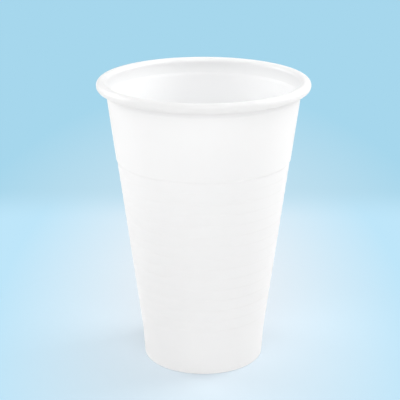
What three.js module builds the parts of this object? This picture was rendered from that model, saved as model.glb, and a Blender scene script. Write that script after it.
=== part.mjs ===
import * as THREE from 'three';

// Disposable drinking cup, thermoformed in one piece from a sheet of white plastic.
// Millimetres, +Z up. The origin is the centre of the standing ring, on the table.

// Overall sizes
const HEIGHT = 97;
const RIM_DIAMETER = 70.3;
const FOOT_DIAMETER = 40.6;

// Sheet thickness after forming
const WALL = 0.25;
const BASE_WALL = 0.4;

// Rolled rim: the lip is curled outwards and down into a hollow bead, with a slit left under it
const CURL_DIAMETER = 3.3;
const CURL_SWEEP = THREE.MathUtils.degToRad(300);
const CURL_STEPS = 10;

// Neck between the rim and the shoulder, where a stacked cup comes to rest
const NECK_DEPTH = 5;
const NECK_DRAFT = 0.12;
const SHOULDER_STEP = 0.25;
const SHOULDER_HEIGHT = 1;

// Wall: a plain band under the neck, then steps that repeat down to a plain stretch
const PLAIN_BAND = 26.4;
const BAND_PROUD = 0.2;
const RIB_PITCH = 3.84;
const RIB_STEP = 0.1;
const RIB_HEIGHT = 0.8;
const PLAIN_FOOT = 16;

// Foot: a band that tapers less than the wall, a flat standing ring and a base raised inside it
const FOOT_BAND_HEIGHT = 9;
const FOOT_BAND_FLARE = 0.6;
const FOOT_CORNER = 0.6;
const FOOT_CORNER_STEPS = 3;
const RING_WIDTH = 1.2;
const BASE_RISE = 2.4;
const BASE_RISER_DRAFT = 0.5;

// Facets round the cup
const FACETS = 48;

const rimRadius = RIM_DIAMETER / 2;
const curlRadius = CURL_DIAMETER / 2;
const neckRadius = rimRadius - CURL_DIAMETER + WALL;
const bandTopRadius = neckRadius - NECK_DRAFT - SHOULDER_STEP;
const bandTop = HEIGHT - NECK_DEPTH - SHOULDER_HEIGHT;
const footRadius = FOOT_DIAMETER / 2;

function point(radius, height) {
  return new THREE.Vector2(radius, height);
}

// Outer radius of the plain wall, before the ribs are stepped into it
function wallRadius(height) {
  const share = (height - FOOT_BAND_HEIGHT) / (bandTop - FOOT_BAND_HEIGHT);
  const lowRadius = footRadius + FOOT_BAND_FLARE;
  return lowRadius + (bandTopRadius - BAND_PROUD - lowRadius) * share;
}

// Heights of the ledges, lowest first
function ledgeHeights() {
  const highest = HEIGHT - PLAIN_BAND;
  const count = Math.floor((highest - PLAIN_FOOT) / RIB_PITCH) + 1;
  const heights = [];
  for (let i = count - 1; i >= 0; i -= 1) {
    heights.push(highest - i * RIB_PITCH);
  }
  return heights;
}

// The side wall from the foot band up to the neck, moved inwards by the given thickness
function wallProfile(inset) {
  const points = [point(wallRadius(FOOT_BAND_HEIGHT) - inset, FOOT_BAND_HEIGHT)];
  const heights = ledgeHeights();
  heights.forEach((height, i) => {
    const radius = wallRadius(height) - inset;
    const proud = i === heights.length - 1 ? BAND_PROUD : 0;
    points.push(point(radius - RIB_STEP, height - RIB_HEIGHT));
    points.push(point(radius + proud, height));
  });
  points.push(point(bandTopRadius - inset, bandTop));
  points.push(point(neckRadius - NECK_DRAFT - inset, bandTop + SHOULDER_HEIGHT));
  return points;
}

// An arc of the curl's section, from the inner side over the top and round to the free edge
function curlProfile(radius) {
  const centre = point(rimRadius - curlRadius, HEIGHT - curlRadius);
  const points = [];
  for (let i = 0; i <= CURL_STEPS; i += 1) {
    const angle = Math.PI - (CURL_SWEEP * i) / CURL_STEPS;
    points.push(point(centre.x + radius * Math.cos(angle), centre.y + radius * Math.sin(angle)));
  }
  return points;
}

// Underside of the base, the standing ring and the rounded outer corner of the foot
function footOutside() {
  const ringOuter = footRadius - FOOT_CORNER;
  const ringInner = ringOuter - RING_WIDTH;
  const points = [
    point(0, BASE_RISE),
    point(ringInner - BASE_RISER_DRAFT, BASE_RISE),
    point(ringInner, 0),
  ];
  for (let i = 0; i <= FOOT_CORNER_STEPS; i += 1) {
    const angle = (Math.PI / 2) * (i / FOOT_CORNER_STEPS);
    const radius = ringOuter + FOOT_CORNER * Math.sin(angle);
    points.push(point(radius, FOOT_CORNER * (1 - Math.cos(angle))));
  }
  return points;
}

// The inside of the foot: the groove over the standing ring, then up to the floor of the cup
function footInside() {
  const ringInner = footRadius - FOOT_CORNER - RING_WIDTH;
  return [
    point(footRadius - WALL, FOOT_CORNER),
    point(footRadius - FOOT_CORNER, WALL),
    point(ringInner + WALL, WALL),
    point(ringInner - BASE_RISER_DRAFT + WALL, BASE_RISE + BASE_WALL),
    point(0, BASE_RISE + BASE_WALL),
  ];
}

// Half section of the cup: up the outside, round the curl, back through it and down the inside
function cupSection() {
  return [
    ...footOutside(),
    ...wallProfile(0),
    ...curlProfile(curlRadius - WALL),
    ...curlProfile(curlRadius).reverse(),
    ...wallProfile(WALL).reverse(),
    ...footInside(),
  ];
}

function makeCup() {
  const geometry = new THREE.LatheGeometry(cupSection(), FACETS);
  geometry.rotateX(Math.PI / 2);
  const material = new THREE.MeshStandardMaterial({
    color: 0xf6f7f8,
    roughness: 0.3,
    metalness: 0,
  });
  const mesh = new THREE.Mesh(geometry, material);
  mesh.name = 'cup';
  return mesh;
}

const drinkingCup = new THREE.Group();
drinkingCup.add(makeCup());

export default drinkingCup;
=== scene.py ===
"""A disposable drinking cup, thermoformed from white polystyrene, on a pale studio floor.

The cup is one sheet of plastic: a raised base, a standing ring, a tapered wall with fine steps,
a shoulder, a neck and a lip that is rolled outwards into a hollow bead.
"""

import math

import bpy
from mathutils import Euler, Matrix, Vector


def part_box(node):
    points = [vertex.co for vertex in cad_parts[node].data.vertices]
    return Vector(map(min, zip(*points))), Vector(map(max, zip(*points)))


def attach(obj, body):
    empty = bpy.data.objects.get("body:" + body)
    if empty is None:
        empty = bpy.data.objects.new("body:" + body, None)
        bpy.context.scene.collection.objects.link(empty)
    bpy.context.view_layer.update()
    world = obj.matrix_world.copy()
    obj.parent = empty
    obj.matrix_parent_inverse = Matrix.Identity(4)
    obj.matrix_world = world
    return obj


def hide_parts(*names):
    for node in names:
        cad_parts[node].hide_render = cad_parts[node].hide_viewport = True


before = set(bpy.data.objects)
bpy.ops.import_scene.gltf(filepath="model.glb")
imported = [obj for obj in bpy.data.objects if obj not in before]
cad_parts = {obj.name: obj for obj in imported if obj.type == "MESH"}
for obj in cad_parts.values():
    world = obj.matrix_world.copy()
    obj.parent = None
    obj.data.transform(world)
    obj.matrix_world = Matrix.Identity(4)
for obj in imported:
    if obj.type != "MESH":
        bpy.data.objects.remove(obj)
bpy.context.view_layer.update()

bl_info = {
    "name": "Disposable Drinking Cup",
    "version": (1, 0, 0),
    "blender": (4, 5, 0),
    "location": "View3D > Sidebar > Cup",
    "description": "Forms a thin ribbed drinking cup and the pale floor that it stands on",
    "category": "Add Mesh",
}

MM = 0.001
CUP_LOW, CUP_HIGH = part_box("cup")
CUP_HEIGHT = CUP_HIGH.z - CUP_LOW.z
RIM_DIAMETER = CUP_HIGH.x - CUP_LOW.x


# ---------------------------------------------------------------- colours and nodes


def linear(hex_colour):
    """An sRGB hex colour as linear red, green, blue and a full alpha."""
    channels = []
    for start in (1, 3, 5):
        value = int(hex_colour[start:start + 2], 16) / 255
        channels.append(value / 12.92 if value <= 0.04045 else ((value + 0.055) / 1.055) ** 2.4)
    return (*channels, 1.0)


def add_node(tree, kind, inputs=None, **settings):
    """Adds a node. Each input is a value, an output socket, or a node for its first output."""
    node = tree.nodes.new(kind)
    for name, value in settings.items():
        setattr(node, name, value)
    for key, value in (inputs or {}).items():
        if isinstance(value, bpy.types.Node):
            value = value.outputs[0]
        if isinstance(value, bpy.types.NodeSocket):
            tree.links.new(value, node.inputs[key])
        else:
            node.inputs[key].default_value = value
    return node


# ---------------------------------------------------------------- settings


def length(name, description, millimetres):
    """A length property, given in millimetres and held in metres."""
    return bpy.props.FloatProperty(
        name=name,
        description=description,
        default=millimetres * MM,
        unit="LENGTH",
        precision=5,
    )


def colour(name, description, hex_colour):
    """A colour property with an sRGB hex default."""
    return bpy.props.FloatVectorProperty(
        name=name,
        description=description,
        default=linear(hex_colour),
        subtype="COLOR",
        size=4,
        min=0.0,
        max=1.0,
    )


class CupSizes(bpy.types.PropertyGroup):
    """Sizes of the cup, outside unless they say otherwise."""

    height: length("Height", "From the table to the top of the rim", CUP_HEIGHT / MM)
    rim_diameter: length("Rim diameter", "Across the rolled rim", RIM_DIAMETER / MM)
    foot_diameter: length("Foot diameter", "Across the foot, above its corner", 40.6)
    sheet: length("Sheet", "Thickness of the formed sheet", 0.25)
    curl_diameter: length("Curl diameter", "Thickness of the rolled bead", 3.3)
    curl_sweep: bpy.props.FloatProperty(
        name="Curl sweep",
        description="How far round the lip is rolled",
        default=math.radians(300),
        subtype="ANGLE",
    )
    neck_depth: length("Neck depth", "From the top of the rim to the shoulder", 5.0)
    neck_draft: length("Neck draft", "How much narrower the neck is at the shoulder", 0.12)
    shoulder_step: length("Shoulder step", "How far the shoulder steps in", 0.25)
    shoulder_height: length("Shoulder height", "Height that the shoulder takes up", 1.0)
    plain_band: length("Plain band", "From the top of the rim to the first step", 26.4)
    band_proud: length("Band step", "How far the plain band stands proud", 0.2)
    rib_pitch: length("Rib pitch", "From one step in the wall to the next", 3.84)
    rib_step: length("Rib step", "How far the wall steps in at each rib", 0.1)
    rib_height: length("Rib height", "Height of each step's slope", 0.8)
    plain_foot: length("Plain foot", "Height over the table that has no ribs", 16.0)
    foot_band: length("Foot band", "Height of the band that tapers less", 9.0)
    foot_flare: length("Foot flare", "How much wider the foot band is at its top", 0.6)
    foot_corner: length("Foot corner", "Radius of the corner at the table", 0.6)
    ring_width: length("Ring width", "Width of the ring that the cup stands on", 1.2)
    base_rise: length("Base rise", "Height of the base over the table", 2.4)
    base_draft: length("Base draft", "Lean of the riser between ring and base", 0.5)
    panel_diameter: length("Panel diameter", "Across the raised middle of the base", 24.0)
    panel_rise: length("Panel rise", "How far that middle is raised", 0.5)
    warp: length("Warp", "How far the thin wall wanders from true", 0.03)
    facets: bpy.props.IntProperty(
        name="Facets",
        description="Faces round the cup",
        default=144,
        min=24,
    )
    seed: bpy.props.IntProperty(
        name="Seed",
        description="Seed of the wall's waviness",
        default=7,
    )


class CupFinish(bpy.types.PropertyGroup):
    """The look of the white plastic."""

    white: colour("White", "Colour of the plastic where it is thickest", "#F9FAFB")
    drawn: colour("Drawn", "Colour where the sheet is drawn thin", "#F3F6F9")
    wall_glow: length("Wall glow", "How far light spreads inside the thin wall", 0.4)
    lip_glow: length("Lip glow", "How far light spreads inside the thick rolled lip", 0.2)
    roughness: bpy.props.FloatProperty(
        name="Roughness",
        description="Roughness of the moulded surface",
        default=0.3,
        min=0.0,
        max=1.0,
        subtype="FACTOR",
    )


class StudioSetup(bpy.types.PropertyGroup):
    """The floor, the surround and the camera."""

    # Floor: colour of a painted pool of light on the board round the cup
    floor: colour("Floor", "Colour of the floor round the cup", "#EAF1F7")
    ground: colour("Ground", "Colour of the floor outside the pale patch", "#BEE6FA")
    # Backdrop: colour of a lighter painted halo on the blue behind the cup
    backdrop: colour("Backdrop", "Colour behind the cup, past the floor's far edge", "#BEDFEF")
    distance: colour("Distance", "Colour of the floor and surround far away", "#A6D7ED")
    # Bounce: colour that the board sends back to the cup, and also the colour of its painted glow
    bounce_and_glow: colour("Bounce", "Colour of the light that the floor sends back", "#F8F8F8")
    # Share of the board's light on the cup that is its own painted glow, not light bounced from the
    # lamps
    floor_glow: bpy.props.FloatProperty(
        name="Underlight",
        description="Share of the floor's light on the cup that comes from under the floor",
        default=0.4,
        min=0.0,
        max=1.0,
        subtype="FACTOR",
    )
    surround: colour("Surround", "Colour of the even light all round", "#CDCDCD")
    camera_distance: length("Camera distance", "From the cup's axis to the lens", 400.0)
    camera_height: length("Camera height", "From the table to the lens", 189.7)
    camera_tilt: bpy.props.FloatProperty(
        name="Camera tilt",
        description="How far the camera looks down",
        default=math.radians(18.6),
        subtype="ANGLE",
    )
    camera_turn: bpy.props.FloatProperty(
        name="Camera turn",
        description="How far the camera looks to the left of the cup",
        default=math.radians(0.168),
        subtype="ANGLE",
    )
    focal_length: bpy.props.FloatProperty(
        name="Focal length",
        description="Focal length on a 36 mm wide sensor",
        default=112.5,
        subtype="DISTANCE_CAMERA",
    )


# ---------------------------------------------------------------- the cup's section


def rounded(corners, steps=6):
    """A path through (radius, height, fillet) corners, with an arc at each corner that has a fillet."""
    path = []
    for i, (radius, height, fillet) in enumerate(corners):
        here = Vector((radius, height))
        if fillet == 0:
            path.append(here)
            continue
        before = (Vector(corners[i - 1][:2]) - here).normalized()
        after = (Vector(corners[i + 1][:2]) - here).normalized()
        half = before.angle(after) / 2
        centre = here + (before + after).normalized() * fillet / math.sin(half)
        start = here + before * fillet / math.tan(half) - centre
        end = here + after * fillet / math.tan(half) - centre
        turn = math.atan2(start.cross(end), start.dot(end))
        for step in range(steps + 1):
            angle = turn * step / steps
            cos, sin = math.cos(angle), math.sin(angle)
            path.append(centre + Vector((
                start.x * cos - start.y * sin,
                start.x * sin + start.y * cos,
            )))
    return path


def ledge_heights(sizes):
    """Heights of the steps in the wall, lowest first."""
    rounding = 1e-6
    highest = sizes.height - sizes.plain_band
    count = math.floor((highest - sizes.plain_foot) / sizes.rib_pitch + rounding) + 1
    return [highest - i * sizes.rib_pitch for i in reversed(range(count))]


def wall_samples(sizes, low, high):
    """Points along the ribbed wall, close together where a step's slope will be."""
    return_shares = (0.75, 0.5)
    slope_shares = (1, 0.84, 0.68, 0.5, 0.32, 0.16, 0)
    over_ledge = sizes.rib_height * 0.25
    path = []
    ledges = ledge_heights(sizes)
    for ledge in ledges:
        heights = [ledge - sizes.rib_pitch * share for share in return_shares]
        heights += [ledge - sizes.rib_height * share for share in slope_shares]
        heights.append(ledge + over_ledge)
        for height in heights:
            point = low.lerp(high, (height - low.y) / (high.y - low.y))
            if ledge == ledges[-1]:
                rise = min(max(1 - (ledge - height) / sizes.rib_height, 0), 1)
                point.x += sizes.band_proud * rise * rise * (3 - 2 * rise)
            path.append(point)
    return path


def sheet_path(sizes):
    """The middle of the sheet, from the centre of the base to the free edge of the curl."""
    panel_fillet = 1.0 * MM
    base_fillet = 0.6 * MM
    ring_fillet = 0.3 * MM
    band_fillet = 3.0 * MM
    shoulder_fillet = 0.5 * MM
    half = sizes.sheet / 2
    foot = sizes.foot_diameter / 2 - half
    ring_outer = sizes.foot_diameter / 2 - sizes.foot_corner
    ring_inner = ring_outer - sizes.ring_width
    base = ring_inner - sizes.base_draft
    panel = sizes.panel_diameter / 2
    neck = sizes.rim_diameter / 2 - sizes.curl_diameter + half
    shoulder = sizes.height - sizes.neck_depth
    band_top = shoulder - sizes.shoulder_height
    band_radius = neck - sizes.neck_draft - sizes.shoulder_step
    floor = sizes.base_rise + half
    foot_top = Vector((foot + sizes.foot_flare, sizes.foot_band))
    wall_top = Vector((band_radius - sizes.band_proud, band_top))
    ledge = sizes.height - sizes.plain_band
    ledge_foot = foot_top.lerp(wall_top, (ledge - foot_top.y) / (band_top - foot_top.y))
    base_path = rounded([
        (0, floor + sizes.panel_rise, 0),
        (panel - sizes.panel_rise, floor + sizes.panel_rise, panel_fillet),
        (panel, floor, panel_fillet),
        (base, floor, base_fillet),
        (ring_inner, half, ring_fillet),
        (foot, half, sizes.foot_corner - half),
        (foot_top.x, foot_top.y, band_fillet),
        (*ledge_foot, 0),
    ])
    neck_path = rounded([
        (ledge_foot.x + sizes.band_proud, ledge_foot.y, 0),
        (band_radius, band_top, shoulder_fillet),
        (neck - sizes.neck_draft, shoulder, shoulder_fillet),
        (neck, sizes.height - sizes.curl_diameter / 2, 0),
    ])
    return (
        base_path[:-1]
        + wall_samples(sizes, foot_top, ledge_foot)
        + neck_path[1:-1]
        + curl_path(sizes, half)
    )


def curl_path(sizes, half, steps=40):
    """The rolled lip, from the inside of the rim over the top and round to its free edge."""
    radius = sizes.curl_diameter / 2
    centre = Vector((sizes.rim_diameter / 2 - radius, sizes.height - radius))
    path = []
    for step in range(steps + 1):
        angle = math.pi - sizes.curl_sweep * step / steps
        path.append(centre + Vector((math.cos(angle), math.sin(angle))) * (radius - half))
    return path


def sheet_outline(path, thickness):
    """Both faces of a sheet of that thickness round its middle, as one line: out, then back."""
    outside = []
    inside = []
    for i, point in enumerate(path):
        ahead = path[min(i + 1, len(path) - 1)]
        behind = path[max(i - 1, 0)]
        along = (ahead - behind).normalized()
        aside = Vector((along.y, -along.x)) * thickness / 2
        outside.append(point + aside)
        inside.append(point - aside)
    return outside + inside[::-1]


# ---------------------------------------------------------------- forming the cup


FORM_INPUTS = (
    ("Facets", "NodeSocketInt"),
    ("Top Ledge", "NodeSocketFloat"),
    ("Rib Pitch", "NodeSocketFloat"),
    ("Rib Count", "NodeSocketInt"),
    ("Rib Step", "NodeSocketFloat"),
    ("Rib Height", "NodeSocketFloat"),
    ("Warp", "NodeSocketFloat"),
    ("Seed", "NodeSocketInt"),
    ("Material", "NodeSocketMaterial"),
)


def forming_tree():
    """Geometry nodes that step the ribs into a half section and turn it round the cup's axis."""
    tree = bpy.data.node_groups.new("Form ribbed cup", "GeometryNodeTree")
    tree.interface.new_socket("Geometry", in_out="INPUT", socket_type="NodeSocketGeometry")
    for name, kind in FORM_INPUTS:
        tree.interface.new_socket(name, in_out="INPUT", socket_type=kind)
    tree.interface.new_socket("Geometry", in_out="OUTPUT", socket_type="NodeSocketGeometry")
    given = add_node(tree, "NodeGroupInput").outputs
    section = ribbed_section(tree, given)
    shell = turned_section(tree, given, section)
    shell = warped_wall(tree, given, shell)
    smooth = add_node(tree, "GeometryNodeSetShadeSmooth", {"Geometry": shell})
    real = add_node(tree, "GeometryNodeRealizeInstances", {"Geometry": smooth})
    painted = add_node(tree, "GeometryNodeSetMaterial", {
        "Geometry": real,
        "Material": given["Material"],
    })
    add_node(tree, "NodeGroupOutput", {"Geometry": painted})
    return tree


def ribbed_section(tree, given):
    """Moves the section's wall in by a saw-tooth: a short slope at each ledge, then a long return."""
    place = add_node(tree, "GeometryNodeInputPosition")
    height = add_node(tree, "ShaderNodeSeparateXYZ", {0: place}).outputs["Z"]
    depth = add_node(tree, "ShaderNodeMath", {0: given["Top Ledge"], 1: height}, operation="SUBTRACT")
    ribbed = add_node(tree, "ShaderNodeMath", {
        0: given["Rib Pitch"],
        1: given["Rib Count"],
    }, operation="MULTIPLY")
    under = add_node(tree, "ShaderNodeMath", {0: depth, 1: 0.0}, operation="GREATER_THAN")
    over = add_node(tree, "ShaderNodeMath", {0: depth, 1: ribbed}, operation="LESS_THAN")
    among = add_node(tree, "ShaderNodeMath", {0: under, 1: over}, operation="MULTIPLY")
    below = add_node(tree, "ShaderNodeMath", {
        0: depth,
        1: given["Rib Pitch"],
    }, operation="FLOORED_MODULO")
    slope = add_node(tree, "ShaderNodeMapRange", {
        "Value": below,
        "From Max": given["Rib Height"],
        "To Max": given["Rib Step"],
    }, interpolation_type="SMOOTHSTEP")
    rise = add_node(tree, "ShaderNodeMapRange", {
        "Value": below,
        "From Min": given["Rib Height"],
        "From Max": given["Rib Pitch"],
        "To Max": given["Rib Step"],
    })
    inward = add_node(tree, "ShaderNodeMath", {0: rise, 1: slope}, operation="SUBTRACT")
    inward = add_node(tree, "ShaderNodeMath", {0: inward, 1: among}, operation="MULTIPLY")
    return add_node(tree, "GeometryNodeSetPosition", {
        "Geometry": given["Geometry"],
        "Offset": add_node(tree, "ShaderNodeCombineXYZ", {"X": inward}),
    })


def turned_section(tree, given, section):
    """Turns the section round the axis: one column of a grid for each of its points."""
    seam_gap = 0.001 * MM
    size = add_node(tree, "GeometryNodeAttributeDomainSize", {"Geometry": section})
    rows = add_node(tree, "ShaderNodeMath", {0: given["Facets"], 1: 1.0}, operation="ADD")
    grid = add_node(tree, "GeometryNodeMeshGrid", {
        "Vertices X": size.outputs["Point Count"],
        "Vertices Y": rows,
    })
    index = add_node(tree, "GeometryNodeInputIndex")
    row = add_node(tree, "ShaderNodeMath", {0: index, 1: rows}, operation="FLOORED_MODULO")
    column = add_node(tree, "ShaderNodeMath", {0: index, 1: row}, operation="SUBTRACT")
    column = add_node(tree, "ShaderNodeMath", {0: column, 1: rows}, operation="DIVIDE")
    sample = add_node(tree, "GeometryNodeSampleIndex", {
        "Geometry": section,
        "Value": add_node(tree, "GeometryNodeInputPosition"),
        "Index": add_node(tree, "ShaderNodeMath", {0: column}, operation="ROUND"),
    }, data_type="FLOAT_VECTOR")
    angle = add_node(tree, "ShaderNodeMath", {0: math.tau, 1: given["Facets"]}, operation="DIVIDE")
    angle = add_node(tree, "ShaderNodeMath", {0: angle, 1: row}, operation="MULTIPLY")
    turned = add_node(tree, "ShaderNodeVectorRotate", {
        "Vector": sample,
        "Angle": angle,
    }, rotation_type="Z_AXIS")
    placed = add_node(tree, "GeometryNodeSetPosition", {"Geometry": grid, "Position": turned})
    return add_node(tree, "GeometryNodeMergeByDistance", {
        "Geometry": placed,
        "Distance": seam_gap,
    })


def warped_wall(tree, given, shell):
    """Lets the thin wall wander in and out a little, but not its foot."""
    wave_length = 22 * MM
    still_below = 8 * MM
    free_above = 30 * MM
    place = add_node(tree, "GeometryNodeInputPosition")
    height = add_node(tree, "ShaderNodeSeparateXYZ", {0: place}).outputs["Z"]
    noise = add_node(tree, "ShaderNodeTexNoise", {
        "Vector": place,
        "W": given["Seed"],
        "Scale": 1 / wave_length,
        "Detail": 1.0,
    }, noise_dimensions="4D")
    free = add_node(tree, "ShaderNodeMapRange", {
        "Value": height,
        "From Min": still_below,
        "From Max": free_above,
        "To Max": given["Warp"],
    })
    wander = add_node(tree, "ShaderNodeMath", {0: noise, 1: 0.5}, operation="SUBTRACT")
    wander = add_node(tree, "ShaderNodeMath", {0: wander, 1: free}, operation="MULTIPLY")
    level = add_node(tree, "ShaderNodeVectorMath", {0: place, 1: (1, 1, 0)}, operation="MULTIPLY")
    outward = add_node(tree, "ShaderNodeVectorMath", {0: level}, operation="NORMALIZE")
    offset = add_node(tree, "ShaderNodeVectorMath", {
        0: outward,
        "Scale": wander,
    }, operation="SCALE")
    return add_node(tree, "GeometryNodeSetPosition", {"Geometry": shell, "Offset": offset})


def half_section(sizes):
    """The cup's half section before the ribs are stepped into it, as an object of points and edges."""
    outline = sheet_outline(sheet_path(sizes), sizes.sheet)
    outline[0].x = 0
    outline[-1].x = 0
    mesh = bpy.data.meshes.new("cup_section")
    edges = [(i, i + 1) for i in range(len(outline) - 1)]
    mesh.from_pydata([(p.x, 0, p.y) for p in outline], edges, [])
    section = bpy.data.objects.new("cup_section", mesh)
    bpy.context.scene.collection.objects.link(section)
    return section


def form(section, tree, values):
    """Runs the forming tree on the section and returns the result as a plain mesh."""
    modifier = section.modifiers.new("form", "NODES")
    modifier.node_group = tree
    for item in tree.interface.items_tree:
        if item.in_out == "INPUT" and item.name in values:
            modifier[item.identifier] = values[item.name]
    evaluated = section.evaluated_get(bpy.context.evaluated_depsgraph_get())
    mesh = bpy.data.meshes.new_from_object(evaluated)
    bpy.data.objects.remove(section)
    return mesh


# ---------------------------------------------------------------- materials


def polystyrene(finish, sizes):
    """High-impact polystyrene sheet, vacuum formed: white, glossy and a little translucent.

    It shines softly rather than mirrors, and the light that passes through the thin wall lifts
    the shaded side. The sheet is drawn thinner down the wall, so it turns a trace cooler there.
    """
    cloud_width = 14 * MM
    haze_width = 6 * MM
    # The real grain is a few hundredths of a millimetre wide, too fine to show, so it is coarser
    grain_width = 1.2 * MM
    grain_depth = 0.02 * MM
    smoother = 0.05
    rougher = 0.08
    material = bpy.data.materials.new("thermoformed polystyrene")
    material.use_nodes = True
    tree = material.node_tree
    tree.nodes.clear()
    place = add_node(tree, "ShaderNodeTexCoord").outputs["Object"]
    height = add_node(tree, "ShaderNodeSeparateXYZ", {0: place}).outputs["Z"]
    drawn = add_node(tree, "ShaderNodeMapRange", {
        "Value": height,
        "From Min": sizes.height,
        "From Max": sizes.foot_band,
    })
    cloud = add_node(tree, "ShaderNodeTexNoise", {
        "Vector": place,
        "Scale": 1 / cloud_width,
        "Detail": 3.0,
    })
    share = add_node(tree, "ShaderNodeMath", {0: drawn, 1: cloud}, operation="MULTIPLY")
    tint = add_node(tree, "ShaderNodeMix", {
        "Factor": share,
        "A": finish.white,
        "B": finish.drawn,
    }, data_type="RGBA")
    haze = add_node(tree, "ShaderNodeTexNoise", {
        "Vector": place,
        "Scale": 1 / haze_width,
        "Detail": 4.0,
    })
    roughness = add_node(tree, "ShaderNodeMapRange", {
        "Value": haze,
        "To Min": finish.roughness - smoother,
        "To Max": finish.roughness + rougher,
    })
    glow = add_node(tree, "ShaderNodeMapRange", {
        "Value": height,
        "From Min": sizes.height - sizes.neck_depth,
        "From Max": sizes.height - sizes.curl_diameter,
        "To Min": finish.wall_glow,
        "To Max": finish.lip_glow,
    }, interpolation_type="SMOOTHSTEP")
    grain = add_node(tree, "ShaderNodeTexNoise", {
        "Vector": place,
        "Scale": 1 / grain_width,
        "Detail": 2.0,
    })
    bump = add_node(tree, "ShaderNodeBump", {
        "Height": grain,
        "Strength": 0.25,
        "Distance": grain_depth,
    })
    plastic = add_node(tree, "ShaderNodeBsdfPrincipled", {
        "Base Color": tint.outputs["Result"],
        "Roughness": roughness,
        "IOR": 1.55,
        "Normal": bump,
        "Subsurface Weight": 1.0,
        "Subsurface Radius": (1.0, 1.0, 1.0),
        "Subsurface Scale": glow,
    })
    add_node(tree, "ShaderNodeOutputMaterial", {"Surface": plastic})
    return material


def distance_over(tree, place, scale, shift):
    """Distance from a point on the floor, with the floor squeezed towards it along X or Y."""
    moved = add_node(tree, "ShaderNodeVectorMath", {
        0: place,
        1: scale,
        2: shift,
    }, operation="MULTIPLY_ADD")
    return add_node(tree, "ShaderNodeVectorMath", {0: moved}, operation="LENGTH").outputs["Value"]


def floor_paint(studio):
    """Matt board with a painted pool of light: a pale patch round the cup, blue past its far edge.

    The painted pool is drawn out from the front of the cup to well behind it, and a lighter painted
    halo lies on the blue behind the cup. Only the camera sees these colours, so that the board lights
    the white cup with neutral light. Away from the cup the camera sees the board glow in these colours
    as painted light. For the cup the whole board also glows a little, a painted glow that lifts the
    cup's foot and lower wall. Close to the cup the board takes the cup's soft shadow.
    """
    # Middle and stretch of the painted pool of light round the cup
    patch_middle = 60 * MM
    patch_squeeze = 0.35
    edge_squeeze = 0.3
    shading = 0.9
    material = bpy.data.materials.new("matt acrylic board")
    material.use_nodes = True
    tree = material.node_tree
    tree.nodes.clear()
    place = add_node(tree, "ShaderNodeTexCoord").outputs["Object"]
    seen = add_node(tree, "ShaderNodeLightPath").outputs["Is Camera Ray"]
    away = distance_over(tree, place, scale=(1, 1, 0), shift=(0, 0, 0))
    beside = distance_over(
        tree,
        place,
        scale=(1, patch_squeeze, 0),
        shift=(0, -patch_squeeze * patch_middle, 0),
    )
    beyond = distance_over(tree, place, scale=(edge_squeeze, 1, 0), shift=(0, 0, 0))
    # Fade from the painted pool of light to the plain ground colour
    edge = add_node(tree, "ShaderNodeMapRange", {
        "Value": beside,
        "From Min": 18 * MM,
        "From Max": 80 * MM,
    })
    # Fade from the painted halo behind the cup to the far blue
    painted_halo = add_node(tree, "ShaderNodeMapRange", {
        "Value": beside,
        "From Min": 60 * MM,
        "From Max": 118 * MM,
    })
    far = add_node(tree, "ShaderNodeMapRange", {
        "Value": beyond,
        "From Min": 135 * MM,
        "From Max": 185 * MM,
    }, interpolation_type="SMOOTHSTEP")
    # Share of painted glow that the camera sees: none close to the cup, where the lamps light and shade
    # the board, all of it further out
    painted_glow_share = add_node(tree, "ShaderNodeMapRange", {
        "Value": away,
        "From Min": 10 * MM,
        "From Max": 90 * MM,
    }, interpolation_type="SMOOTHSTEP")
    # Rays other than the camera's see a fixed share of the board's painted glow
    share = add_node(tree, "ShaderNodeMix", {
        "Factor": seen,
        "A": studio.floor_glow,
        "B": painted_glow_share,
    }, data_type="FLOAT")
    # Painted pool of light round the cup, on the plain ground colour
    tint = add_node(tree, "ShaderNodeMix", {
        "Factor": edge,
        "A": studio.floor,
        "B": studio.ground,
    }, data_type="RGBA").outputs["Result"]
    # Painted halo behind the cup, fading into the far blue
    behind = add_node(tree, "ShaderNodeMix", {
        "Factor": painted_halo,
        "A": studio.backdrop,
        "B": studio.distance,
    }, data_type="RGBA").outputs["Result"]
    tint = add_node(tree, "ShaderNodeMix", {
        "Factor": far,
        "A": tint,
        "B": behind,
    }, data_type="RGBA").outputs["Result"]
    dimmed = add_node(tree, "ShaderNodeVectorMath", {
        0: tint,
        "Scale": shading,
    }, operation="SCALE")
    paint = add_node(tree, "ShaderNodeMix", {
        "Factor": seen,
        "A": studio.bounce_and_glow,
        "B": dimmed,
    }, data_type="RGBA").outputs["Result"]
    # Colour of the board's painted glow: neutral for the cup, the painted pool and blues for the camera
    under = add_node(tree, "ShaderNodeMix", {
        "Factor": seen,
        "A": studio.bounce_and_glow,
        "B": tint,
    }, data_type="RGBA").outputs["Result"]
    # The lamp-lit board mixed with its painted glow
    board = add_node(tree, "ShaderNodeMixShader", {
        0: share,
        1: add_node(tree, "ShaderNodeBsdfDiffuse", {"Color": paint}),
        2: add_node(tree, "ShaderNodeEmission", {"Color": under}),
    })
    add_node(tree, "ShaderNodeOutputMaterial", {"Surface": board})
    return material


# ---------------------------------------------------------------- the studio


def add_floor(studio, radius=4.0, sides=96):
    """A round floor, so that it looks the same from every side."""
    mesh = bpy.data.meshes.new("floor")
    rim = []
    for side in range(sides):
        angle = math.tau * side / sides
        rim.append((radius * math.cos(angle), radius * math.sin(angle), 0.0))
    mesh.from_pydata(rim, [], [range(sides)])
    mesh.materials.append(floor_paint(studio))
    floor = bpy.data.objects.new("floor", mesh)
    bpy.context.scene.collection.objects.link(floor)


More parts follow.
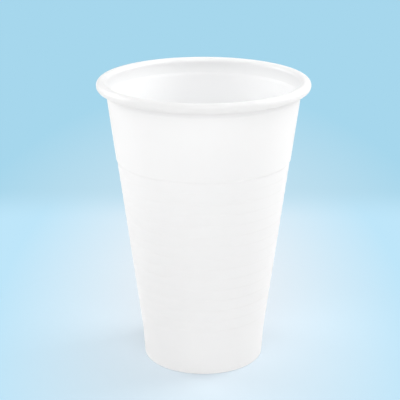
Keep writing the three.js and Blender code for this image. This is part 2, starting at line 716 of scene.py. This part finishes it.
def add_softbox(name, azimuth, elevation, distance, size, power):
    """A square light of that size, aimed at the middle of the cup. Azimuth 0 is the cup's right."""
    light = bpy.data.lights.new(name, "AREA")
    light.shape = "SQUARE"
    light.size = size
    light.energy = power
    softbox = bpy.data.objects.new(name, light)
    turn, rise = math.radians(azimuth), math.radians(elevation)
    aim = Vector((0, 0, CUP_HEIGHT / 2))
    away = Vector((math.cos(rise) * math.cos(turn), math.cos(rise) * math.sin(turn), math.sin(rise)))
    softbox.location = aim + away * distance
    softbox.rotation_euler = away.to_track_quat("Z", "Y").to_euler()
    bpy.context.scene.collection.objects.link(softbox)


def add_surround(studio):
    """An even neutral surround, which the camera sees as the floor's distant blue."""
    world = bpy.data.worlds.new("studio surround")
    world.use_nodes = True
    tree = world.node_tree
    tree.nodes.clear()
    seen = add_node(tree, "ShaderNodeLightPath").outputs["Is Camera Ray"]
    tint = add_node(tree, "ShaderNodeMix", {
        "Factor": seen,
        "A": studio.surround,
        "B": studio.distance,
    }, data_type="RGBA")
    background = add_node(tree, "ShaderNodeBackground", {"Color": tint.outputs["Result"]})
    add_node(tree, "ShaderNodeOutputWorld", {"Surface": background})
    bpy.context.scene.world = world


def add_lights():
    """A softbox over the camera and a lamp on each side of the rim."""
    add_softbox("front softbox", azimuth=-90, elevation=45, distance=0.8, size=0.6, power=1.95)
    add_softbox("left lamp", azimuth=160, elevation=30, distance=0.25, size=0.12, power=0.159)
    add_softbox("right lamp", azimuth=20, elevation=40, distance=0.25, size=0.12, power=0.256)


def add_camera(studio):
    """A long lens above the rim, looking down on the cup from the front."""
    lens = bpy.data.cameras.new("camera")
    lens.lens = studio.focal_length
    lens.sensor_width = 36.0
    camera = bpy.data.objects.new("camera", lens)
    camera.location = (0, -studio.camera_distance, studio.camera_height)
    tilt = math.pi / 2 - studio.camera_tilt
    camera.rotation_euler = Euler((tilt, 0, studio.camera_turn))
    bpy.context.scene.collection.objects.link(camera)
    bpy.context.scene.camera = camera


# ---------------------------------------------------------------- operators


class DRINKINGCUP_OT_form(bpy.types.Operator):
    """Form the whole cup, from its base to its rolled rim, as one sheet"""

    bl_idname = "drinking_cup.form"
    bl_label = "Form Cup"

    def execute(self, context):
        sizes = context.scene.cup_sizes
        ledges = ledge_heights(sizes)
        mesh = form(half_section(sizes), forming_tree(), {
            "Facets": sizes.facets,
            "Top Ledge": ledges[-1],
            "Rib Pitch": sizes.rib_pitch,
            "Rib Count": len(ledges),
            "Rib Step": sizes.rib_step,
            "Rib Height": sizes.rib_height,
            "Warp": sizes.warp,
            "Seed": sizes.seed,
            "Material": polystyrene(context.scene.cup_finish, sizes),
        })
        mesh.name = "formed_cup"
        cup = bpy.data.objects.new("formed_cup", mesh)
        context.scene.collection.objects.link(cup)
        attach(cup, "root")
        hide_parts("cup")
        return {"FINISHED"}


class DRINKINGCUP_OT_stage(bpy.types.Operator):
    """Set up the pale floor, the soft lights and the camera"""

    bl_idname = "drinking_cup.stage"
    bl_label = "Set Stage"

    def execute(self, context):
        studio = context.scene.cup_studio
        context.scene.view_settings.view_transform = "Standard"
        add_floor(studio)
        add_surround(studio)
        add_lights()
        add_camera(studio)
        return {"FINISHED"}


class DRINKINGCUP_PT_panel(bpy.types.Panel):
    """Sizes, finish and steps of the cup"""

    bl_idname = "DRINKINGCUP_PT_panel"
    bl_label = "Drinking Cup"
    bl_space_type = "VIEW_3D"
    bl_region_type = "UI"
    bl_category = "Cup"

    def draw(self, context):
        layout = self.layout
        for group in (context.scene.cup_sizes, context.scene.cup_finish, context.scene.cup_studio):
            column = layout.column(align=True)
            for name in group.__annotations__:
                column.prop(group, name)
        layout.operator("drinking_cup.form")
        layout.operator("drinking_cup.stage")


CLASSES = (
    CupSizes,
    CupFinish,
    StudioSetup,
    DRINKINGCUP_OT_form,
    DRINKINGCUP_OT_stage,
    DRINKINGCUP_PT_panel,
)


def register():
    for each in CLASSES:
        bpy.utils.register_class(each)
    bpy.types.Scene.cup_sizes = bpy.props.PointerProperty(type=CupSizes)
    bpy.types.Scene.cup_finish = bpy.props.PointerProperty(type=CupFinish)
    bpy.types.Scene.cup_studio = bpy.props.PointerProperty(type=StudioSetup)


def unregister():
    del bpy.types.Scene.cup_studio
    del bpy.types.Scene.cup_finish
    del bpy.types.Scene.cup_sizes
    for each in reversed(CLASSES):
        bpy.utils.unregister_class(each)


def main():
    register()
    bpy.ops.drinking_cup.form()
    bpy.ops.drinking_cup.stage()


if __name__ == "__main__":
    main()
